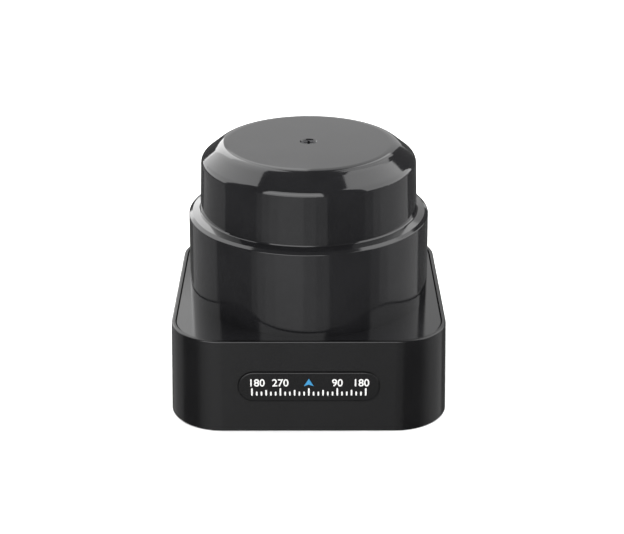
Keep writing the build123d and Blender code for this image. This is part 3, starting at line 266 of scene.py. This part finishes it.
def metal(name, tone, roughness, marks, depth, tint=None, metallic=1.0):
    """Metal whose tool marks, given as a function of the shader, shade both gloss and height."""
    s = Shader(name)
    pattern = marks(s)
    cloud = s.noise(3.0, 4.0, 0.55)
    s.set(Base_Color=s.blend(s.spread(cloud), tone, tint or scaled(tone, 0.85)), Metallic=metallic)
    smear = s.math("MULTIPLY_ADD", pattern, 0.35, s.math("MULTIPLY", cloud, 0.65))
    s.set(Roughness=s.spread(smear, roughness - 0.06, roughness + 0.07, 0.3, 0.7))
    s.bump(pattern, depth)
    return s


def ground(s):
    return s.math("ADD", s.rings(0.06, 1.5), s.noise(0.05, 2.0))


def turned(s):
    return s.math("MULTIPLY_ADD", s.rings(0.14, 0.6), 0.7, s.noise(0.2, 2.0))


def drawn(s):
    return s.noise(0.12, 2.0, 0.6, s.stretched(1.0, 1.0, 0.05))


def plated(s):
    return s.math("ADD", s.cells(0.3), s.noise(0.7, 3.0))


def laminated(s):
    return s.math("MULTIPLY_ADD", s.lines(0.35), 0.8, s.noise(0.25, 2.0))


def knurled(s):
    """Slanting grooves, over turning marks."""
    slant = s.node("ShaderNodeMapping")
    s.feed(slant.inputs["Vector"], s.place)
    slant.inputs["Rotation"].default_value = (radians(35), radians(35), 0.0)
    bands = s.node("ShaderNodeTexWave", wave_type="BANDS", bands_direction="DIAGONAL")
    grooves = s.waves(bands, 0.35, slant.outputs["Vector"])
    return s.math("MULTIPLY_ADD", grooves, 0.5, s.rings(0.2, 1.0))


def wound(s):
    """Wires side by side: each turn lies at its own distance from the scan axis."""
    return s.math("POWER", s.rings(0.22, 0.25), 0.6)


def enamelled_copper(name):
    s = metal(name, COPPER, 0.24, wound, 0.06, color(0.55, 0.17, 0.06), 0.85)
    # the furrows between the turns are painted dark copper: painted shade between the wires
    painted_shade_gap = s.spread(wound(s), 0.7, 0.0, 0.0, 0.5)
    wire = s.blend(s.spread(s.noise(2.2)), COPPER, color(0.58, 0.19, 0.07))
    s.set(Base_Color=s.blend(painted_shade_gap, wire, color(0.10, 0.03, 0.012)))
    s.set(Coat_Weight=0.6, Coat_Roughness=0.08)
    return s


def solder_mask(name, normal="Z"):
    """Green board: bundles of tracks under the mask, tinned vias and a bare laminate edge."""
    s = Shader(name)
    first_way, second_way = [axis for axis in "XYZ" if axis != normal]
    flattened = s.stretched(*[0.01 if axis == normal else 1.0 for axis in "XYZ"])
    patch = s.cells(5.5, "Color", distance="CHEBYCHEV", source=flattened)
    split = s.node("ShaderNodeSeparateColor")
    s.feed(split.inputs[0], patch)
    across = s.math("GREATER_THAN", split.outputs[0], 0.5)
    bare = s.math("GREATER_THAN", split.outputs[1], 0.55)
    first_set = s.math("GREATER_THAN", s.lines(0.62, first_way), 0.5)
    second_set = s.math("GREATER_THAN", s.lines(0.62, second_way), 0.5)
    chosen = s.math("MULTIPLY_ADD", across, s.math("SUBTRACT", first_set, second_set), second_set)
    tracks = s.math("MAXIMUM", chosen, bare)
    via_spot = s.cells(2.4, source=flattened)
    via = s.math("LESS_THAN", via_spot, 0.13)
    drill_hole_and_shade = s.math("LESS_THAN", via_spot, 0.055)
    flat = s.math("GREATER_THAN", s.axis_of_normal(normal), 0.6)
    cloud = s.spread(s.noise(4.0))
    mask = s.blend(cloud, color(0.012, 0.075, 0.030), color(0.016, 0.095, 0.040))
    mask = s.blend(tracks, mask, color(0.030, 0.160, 0.065))
    mask = s.blend(via, mask, color(0.62, 0.60, 0.55))
    # the drill holes are painted near-black: painted shade standing in for the open holes
    mask = s.blend(drill_hole_and_shade, mask, color(0.01, 0.01, 0.01))
    weave = s.blend(s.lines(0.2), color(0.30, 0.27, 0.15), color(0.42, 0.38, 0.22))
    s.set(Base_Color=s.blend(flat, weave, mask), IOR=1.55)
    s.set(Roughness=s.spread(s.noise(0.8), 0.22, 0.34), Metallic=s.math("MULTIPLY", via, flat))
    raised = s.math("MULTIPLY_ADD", tracks, 0.6, s.math("SUBTRACT", via, drill_hole_and_shade))
    s.bump(raised, 0.03)
    return s


def print_ink(name, tone, thin_tone):
    """Pad-printed ink, a little uneven in thickness."""
    s = Shader(name)
    body = s.spread(s.noise(0.5, 3.0, 0.6))
    s.set(Base_Color=s.blend(body, tone, thin_tone), Roughness=s.spread(s.noise(0.15), 0.34, 0.46))
    s.bump(s.noise(0.1, 2.0), 0.002)
    return s


BLACK = color(0.0068, 0.0068, 0.0074)
slots = {
    "case_plastic": moulded("case_plastic", BLACK, 0.10, 1.50, 0.22, 0.001),
    "window_plastic": moulded("window_plastic", BLACK, 0.08, 1.50, 0.6, 0.0003),
    "badge_plastic": moulded("badge_plastic", scaled(BLACK, 0.4), 0.20, 1.38, 0.12, 0.0008),
    "label_film": label_film("label_film"),
    "seal_rubber": silicone("seal_rubber"),
    "black_steel": metal(
        "black_steel", color(0.055, 0.055, 0.06), 0.38, turned, 0.004, color(0.03, 0.03, 0.034)
    ),
    "zinc_steel": metal(
        "zinc_steel", color(0.60, 0.62, 0.66), 0.28, plated, 0.003, color(0.56, 0.55, 0.50)
    ),
    "brass_insert": metal("brass_insert", BRASS, 0.27, knurled, 0.02, DARK_BRASS),
    "circuit_board": solder_mask("circuit_board"),
    "chip_epoxy": chip_epoxy("chip_epoxy"),
    "can_aluminium": metal("can_aluminium", color(0.77, 0.77, 0.79), 0.26, drawn, 0.004),
    "nylon_natural": filled_nylon(
        "nylon_natural", color(0.74, 0.69, 0.57), color(0.86, 0.83, 0.74), 0.42
    ),
    "tinned_brass": metal(
        "tinned_brass", color(0.80, 0.79, 0.76), 0.22, drawn, 0.002, color(0.70, 0.69, 0.64)
    ),
    "turned_aluminium": metal("turned_aluminium", color(0.72, 0.73, 0.75), 0.30, turned, 0.006),
    "ground_steel": metal("ground_steel", color(0.63, 0.63, 0.65), 0.16, ground, 0.0015),
    "core_steel": metal(
        "core_steel", color(0.36, 0.36, 0.38), 0.36, laminated, 0.02, color(0.30, 0.29, 0.29)
    ),
    "copper_wire": enamelled_copper("copper_wire"),
    "flex_film": flex_film("flex_film"),
    "ferrite": ferrite("ferrite"),
    "optics_plastic": moulded(
        "optics_plastic", color(0.010, 0.010, 0.011), 0.80, 1.46, 0.16, 0.012, 1.5
    ),
    "lens_glass": coated_glass("lens_glass"),
    "gold_can": metal(
        "gold_can", color(0.86, 0.64, 0.28), 0.20, turned, 0.003, color(0.80, 0.56, 0.22)
    ),
    "cage_plastic": filled_nylon(
        "cage_plastic", color(0.52, 0.36, 0.19), color(0.74, 0.60, 0.40), 0.48
    ),
}
for row in frame["record"]["subparts"]:
    mesh = nodes[row["node"]].data
    mesh.materials.clear()
    mesh.materials.append(slots[row["material_slot"]].material)
# nodes whose finish differs a little from the rest of their slot; the base housing's darker tone and
# weaker gloss are partly painted shade
own_finish_and_painted_shade = {
    # the base housing is a darker, less glossy copy of the case plastic: partly a darker plastic,
    # partly painted shade for the shadowed floor it mirrors
    "base_housing": moulded("base_plastic_painted_shade", scaled(BLACK, 0.45), 0.20, 1.44, 0.22, 0.002),
    "optics_board": solder_mask("upright_board", "Y"),
    "balance_weight": metal("turned_brass", BRASS, 0.27, turned, 0.005, DARK_BRASS),
}
for node, shader in own_finish_and_painted_shade.items():
    nodes[node].data.materials[0] = shader.material
white_ink = print_ink("white_ink", color(0.59, 0.59, 0.58), color(0.53, 0.53, 0.52))
blue_ink = print_ink("blue_ink", color(0.014, 0.20, 0.40), color(0.011, 0.16, 0.33))
grey_ink = print_ink("grey_ink", color(0.05, 0.05, 0.052), color(0.08, 0.08, 0.083))


# ---- Mesh helpers --------------------------------------------------------------------------------
def finished(name, bm, body, material):
    """Turns a bmesh into a piece that rides on a body."""
    bmesh.ops.recalc_face_normals(bm, faces=bm.faces)
    mesh = bpy.data.meshes.new(name)
    bm.to_mesh(mesh)
    bm.free()
    mesh.materials.append(material)
    piece = bpy.data.objects.new(name, mesh)
    scene.collection.objects.link(piece)
    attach(piece, body)


def prism(bm, outline, matrix, thickness):
    """Closed plate of an outline of (x, y) points, standing on the plane of the matrix."""
    lower = [bm.verts.new(matrix @ Vector((x, y, 0))) for x, y in outline]
    upper = [bm.verts.new(matrix @ Vector((x, y, thickness))) for x, y in outline]
    bm.faces.new(list(reversed(lower)))
    bm.faces.new(upper)
    for index in range(len(outline)):
        after = (index + 1) % len(outline)
        bm.faces.new((lower[index], lower[after], upper[after], upper[index]))


def arc(x, y, radius, start, end, steps):
    """Points of an arc, with its angles in degrees."""
    angles = [radians(start + (end - start) * step / steps) for step in range(steps + 1)]
    return [(x + radius * cos(angle), y + radius * sin(angle)) for angle in angles]


def bar(x, low, high, width):
    """Upright bar with round ends."""
    half = width / 2
    steps = 8
    return arc(x, high - half, half, 0, 180, steps) + arc(x, low + half, half, 180, 360, steps)


def rounded_rectangle(width, height, corner):
    """Outline round the origin."""
    points = []
    steps = 6
    sides = ((1, 1, 0), (-1, 1, 90), (-1, -1, 180), (1, -1, 270))
    for side_x, side_y, start in sides:
        x = side_x * (width / 2 - corner)
        y = side_y * (height / 2 - corner)
        points += arc(x, y, corner, start, start + 90, steps)
    return points


# ---- Badge print: a plain angle scale with a heading mark ----------------------------------------
badge_low, badge_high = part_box("front_badge")
badge_middle = (badge_low.z + badge_high.z) / 2
# the plane of the badge's face, where a ray from the front meets it
_, landing, facing, _ = nodes["front_badge"].ray_cast((0, -1, badge_middle), (0, 1, 0))
rightward = Vector((1, 0, 0))
upward = facing.cross(rightward)
badge_turn = Matrix((rightward, upward, facing)).transposed().to_4x4()
badge_face = Matrix.Translation(landing) @ badge_turn

INK = 0.02 * MM
tick_pitch = 1.0 * MM
tick_foot = -1.95 * MM
tick_width = 0.34 * MM
long_tick = 1.75 * MM
middle_tick = 1.35 * MM
short_tick = 0.95 * MM
long_every = 6
tick_heights = {0: long_tick, long_every // 2: middle_tick}
scale_reach = 2 * long_every
bm = bmesh.new()
for step in range(-scale_reach, scale_reach + 1):
    height = tick_heights.get(step % long_every, short_tick)
    prism(bm, bar(step * tick_pitch, tick_foot, tick_foot + height, tick_width), badge_face, INK)
finished("badge_scale", bm, "housing", white_ink.material)

numeral_foot = 0.25 * MM
numeral_size = 2.35 * MM
numeral_weight = 0.03 * MM
# the end numbers stand one tick further in than their ticks, to stay on the badge
for name, label, step in (
    ("left_end", "180", 1 - scale_reach),
    ("left", "270", -long_every),
    ("right", "90", long_every),
    ("right_end", "180", scale_reach - 1),
):
    text = bpy.data.curves.new("badge_numeral_" + name, "FONT")
    text.body = label
    text.size = numeral_size
    text.align_x = "CENTER"
    text.offset = numeral_weight
    text.extrude = INK / 2
    piece = bpy.data.objects.new("badge_numeral_" + name, text)
    piece.matrix_world = badge_face @ Matrix.Translation((step * tick_pitch, numeral_foot, INK / 2))
    scene.collection.objects.link(piece)
    text.materials.append(white_ink.material)
    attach(piece, "housing")

mark_half_width = 1.05 * MM
mark_height = 1.75 * MM
mark_notch = 0.4 * MM
bm = bmesh.new()
mark = [
    (-mark_half_width, numeral_foot),
    (0, numeral_foot + mark_notch),
    (mark_half_width, numeral_foot),
    (0, numeral_foot + mark_height),
]
prism(bm, mark, badge_face, INK)
finished("badge_heading", bm, "housing", blue_ink.material)


# ---- Underside: print on the label, threads in the inserts ---------------------------------------
label_low, label_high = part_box("rating_label")
label_plane = Matrix.Translation((0, 0, label_low.z)) @ Matrix.Rotation(pi, 4, "X")
label_width = label_high.x - label_low.x
label_height = label_high.y - label_low.y
border_inset = 1.0 * MM
border_width = 0.25 * MM
border_corner = 1.0 * MM
bm = bmesh.new()
rings = []
for inset in (border_inset, border_inset + border_width):
    outline = rounded_rectangle(label_width - 2 * inset, label_height - 2 * inset, border_corner)
    for lift in (0, INK):
        rings.append([bm.verts.new(label_plane @ Vector((x, y, lift))) for x, y in outline])
outer_low, outer_high, inner_low, inner_high = rings
for first, second in (
    (outer_low, outer_high),
    (outer_high, inner_high),
    (inner_high, inner_low),
    (inner_low, outer_low),
):
    for index in range(len(first)):
        after = (index + 1) % len(first)
        bm.faces.new((first[index], first[after], second[after], second[index]))
finished("label_border", bm, "housing", grey_ink.material)

mounts = {mount["name"]: mount["dims"] for mount in frame["record"]["mounts"]}
inserts = mounts["bottom_inserts"]
insert_x = inserts["spacing_x_mm"] / 2 * MM
insert_y = inserts["spacing_y_mm"] / 2 * MM
insert_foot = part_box("mount_inserts")[0].z
thread_radius = inserts["hole_r_mm"] * MM
thread_depth = 0.07 * MM
thread_pitch = 0.5 * MM
thread_turns = 6
thread_steps = 24
thread_start = 0.75 * thread_pitch       # above the foot of the insert
thread_half_width = 0.3 * thread_pitch
# section of the thread, as radius and height, with its root inside the wall of the hole
thread_section = (
    (thread_radius + thread_depth / 2, -thread_half_width),
    (thread_radius - thread_depth, 0),
    (thread_radius + thread_depth / 2, thread_half_width),
)
bm = bmesh.new()
for site_x, site_y in ((1, 1), (-1, 1), (-1, -1), (1, -1)):
    rows = []
    for step in range(thread_turns * thread_steps + 1):
        angle = 2 * pi * step / thread_steps
        z = insert_foot + thread_start + thread_pitch * step / thread_steps
        row = []
        for radius, rise in thread_section:
            x = site_x * insert_x + radius * cos(angle)
            y = site_y * insert_y + radius * sin(angle)
            row.append(bm.verts.new((x, y, z + rise)))
        rows.append(row)
    for first, second in zip(rows, rows[1:]):
        for index in range(len(thread_section)):
            after = (index + 1) % len(thread_section)
            bm.faces.new((first[index], first[after], second[after], second[index]))
    bm.faces.new(rows[0])
    bm.faces.new(rows[-1])
finished("insert_threads", bm, "housing", slots["brass_insert"].material)


# ---- Boards: leads of the chips --------------------------------------------------------------------
weld_distance = 0.001 * MM


def islands(node):
    """Lowest and highest corners of each loose part of a node."""
    bm = bmesh.new()
    bm.from_mesh(nodes[node].data)
    bmesh.ops.remove_doubles(bm, verts=bm.verts, dist=weld_distance)
    left = set(bm.verts)
    boxes = []
    while left:
        front = [left.pop()]
        part = list(front)
        while front:
            near = [edge.other_vert(vert) for vert in front for edge in vert.link_edges]
            front = [vert for vert in set(near) if vert in left]
            left.difference_update(front)
            part += front
        corners = []
        for pick in (min, max):
            corners.append(Vector([pick(vert.co[axis] for vert in part) for axis in range(3)]))
        boxes.append(corners)
    bm.free()
    return sorted(boxes, key=lambda box: tuple(box[0]))


lead_pitch = 0.8 * MM
lead_width = 0.32 * MM
lead_plate = 0.12 * MM
lead_step = 0.25 * MM
lead_foot = 0.35 * MM
lead_shoulder = 0.5       # of the chip's height
for node, body in (("main_board_chips", "housing"), ("rotor_board_chips", "rotor")):
    bm = bmesh.new()
    for chip_low, chip_high in islands(node):
        size = chip_high - chip_low
        shoulder = size.z * lead_shoulder
        outline = [
            (0, shoulder),
            (lead_step, shoulder),
            (lead_step + lead_plate, lead_plate),
            (lead_step + lead_plate + lead_foot, lead_plate),
            (lead_step + lead_plate + lead_foot, 0),
            (lead_step, 0),
            (lead_step - lead_plate, shoulder - lead_plate),
            (0, shoulder - lead_plate),
        ]
        count = int((size.x - lead_width) / lead_pitch)
        first = (chip_low.x + chip_high.x - count * lead_pitch) / 2
        for step in range(count + 1):
            for side, edge in ((-1, chip_low.y), (1, chip_high.y)):
                x = first + step * lead_pitch - side * lead_width / 2
                start = Vector((x, edge, chip_low.z))
                turn = Matrix(((0, 0, side), (side, 0, 0), (0, 1, 0))).to_4x4()
                prism(bm, outline, Matrix.Translation(start) @ turn, lead_width)
    finished(node[:-1] + "_leads", bm, body, slots["tinned_brass"].material)


# ---- Camera, at the photograph's viewing angle ---------------------------------------------------
camera_distance = 0.31537   # in front of the scan axis
camera_height = 0.16131
camera_tilt = 23.334        # downward, in degrees
camera_turn = -0.134
camera_lens = 88.05
camera_sensor = 36.0
nearest = 0.01
farthest = 10.0
camera = bpy.data.objects.new("camera", bpy.data.cameras.new("camera"))
scene.collection.objects.link(camera)
camera.data.sensor_width = camera_sensor
camera.data.lens = camera_lens
camera.location = (0.0, -camera_distance, camera_height)
camera.rotation_euler = (radians(90 - camera_tilt), 0.0, radians(camera_turn))
camera.data.clip_start = nearest
camera.data.clip_end = farthest
scene.camera = camera
scene.view_settings.view_transform = "Standard"


# ---- Floor, world and soft boxes -----------------------------------------------------------------
def paper_floor(reach):
    """Square sheet of pale paper, in metres from its middle to its edge."""
    mesh = bpy.data.meshes.new("floor")
    corners = [(-reach, -reach, 0), (reach, -reach, 0), (reach, reach, 0), (-reach, reach, 0)]
    mesh.from_pydata(corners, [], [(0, 1, 2, 3)])
    made = bpy.data.objects.new("floor", mesh)
    scene.collection.objects.link(made)
    s = Shader("floor_paper")
    paper = s.blend(s.noise(30.0), color(0.92, 0.92, 0.92), color(0.94, 0.94, 0.94))
    s.set(Base_Color=paper, Roughness=0.9, IOR=1.2)
    mesh.materials.append(s.material)
    # the floor stays out of the reflections, and the low lights shine through it
    made.visible_glossy = False
    made.visible_shadow = False


def studio_world(ambient, backdrop):
    """A dim room for the light, and a pale backdrop behind the object."""
    world = bpy.data.worlds.new("studio")
    scene.world = world
    world.use_nodes = True
    tree = world.node_tree
    room = tree.nodes["Background"]
    room.inputs["Color"].default_value = (1.0, 1.0, 1.0, 1.0)
    room.inputs["Strength"].default_value = ambient
    pale = tree.nodes.new("ShaderNodeBackground")
    pale.inputs["Color"].default_value = (1.0, 1.0, 1.0, 1.0)
    pale.inputs["Strength"].default_value = backdrop
    path = tree.nodes.new("ShaderNodeLightPath")
    mix = tree.nodes.new("ShaderNodeMixShader")
    tree.links.new(path.outputs["Is Camera Ray"], mix.inputs["Fac"])
    tree.links.new(room.outputs[0], mix.inputs[1])
    tree.links.new(pale.outputs[0], mix.inputs[2])
    tree.links.new(mix.outputs[0], tree.nodes["World Output"].inputs["Surface"])


def area_light(name, width, height, radiance):
    """Rectangular light that the camera doesn't see."""
    data = bpy.data.lights.new(name, "AREA")
    data.shape = "RECTANGLE"
    data.size = width
    data.size_y = height
    data.energy = radiance * pi * width * height
    made = bpy.data.objects.new(name, data)
    scene.collection.objects.link(made)
    made.visible_camera = False
    return made


LIGHT_CENTRE_Z = 0.03


def panel(name, azimuth, spread, low, high, radiance):
    """Upright softbox, 1 m away, that faces the object and fills the given angles, in degrees.

    Azimuth 0 is behind the camera and 90 is on the camera's right.
    """
    bottom = tan(radians(low))
    top = tan(radians(high))
    made = area_light(name, 2 * tan(radians(spread / 2)), top - bottom, radiance)
    out = Vector((sin(radians(azimuth)), -cos(radians(azimuth)), 0))
    made.location = out + Vector((0, 0, LIGHT_CENTRE_Z + (top + bottom) / 2))
    made.rotation_euler = out.to_track_quat("Z", "Y").to_euler()


paper_floor(reach=1.1)
studio_world(ambient=0.11, backdrop=1.0)
# each panel: azimuth, spread, lowest and highest angle, radiance
panel("front", -16, 62, -3, 12, 3.1)
panel("front_middle", -16, 62, 12, 36, 4.2)
panel("front_high", -16, 62, 36, 50, 3.1)
# the low lights fade to their sides in steps: azimuth, spread and radiance of each
low_steps = (
    (-52, 6, 0.20),
    (-45, 8, 0.40),
    (-36, 10, 0.55),
    (-18, 26, 0.66),
    (1, 12, 0.46),
    (13, 12, 0.31),
    (65, 10, 0.13),
    (75, 10, 0.33),
    (104, 48, 0.47),
)
for step, (azimuth, spread, radiance) in enumerate(low_steps):
    panel(f"low_{step}", azimuth, spread, -32, -3, radiance)
panel("right", 97, 74, -2, 68, 2.8)
panel("right_back_high", 142, 16, 34, 66, 1.9)
panel("back_right_high", 157, 15, 28, 60, 1.5)
panel("left", -122, 56, 0, 63, 2.6)
panel("left_low", -122, 50, -34, -3, 0.26)
panel("left_back", -159, 18, 10, 36, 3.8)
panel("left_back_high", -159, 18, 36, 62, 2.4)
panel("back", 175, 34, 2, 48, 0.83)
panel("back_high", -174, 12, 23, 52, 0.93)
# lights the paper from above, and stays out of the reflections
overhead_height = 1.2
overhead = area_light("overhead", width=2.0, height=2.0, radiance=1.8)
overhead.location = (0, 0, overhead_height)
overhead.visible_glossy = False
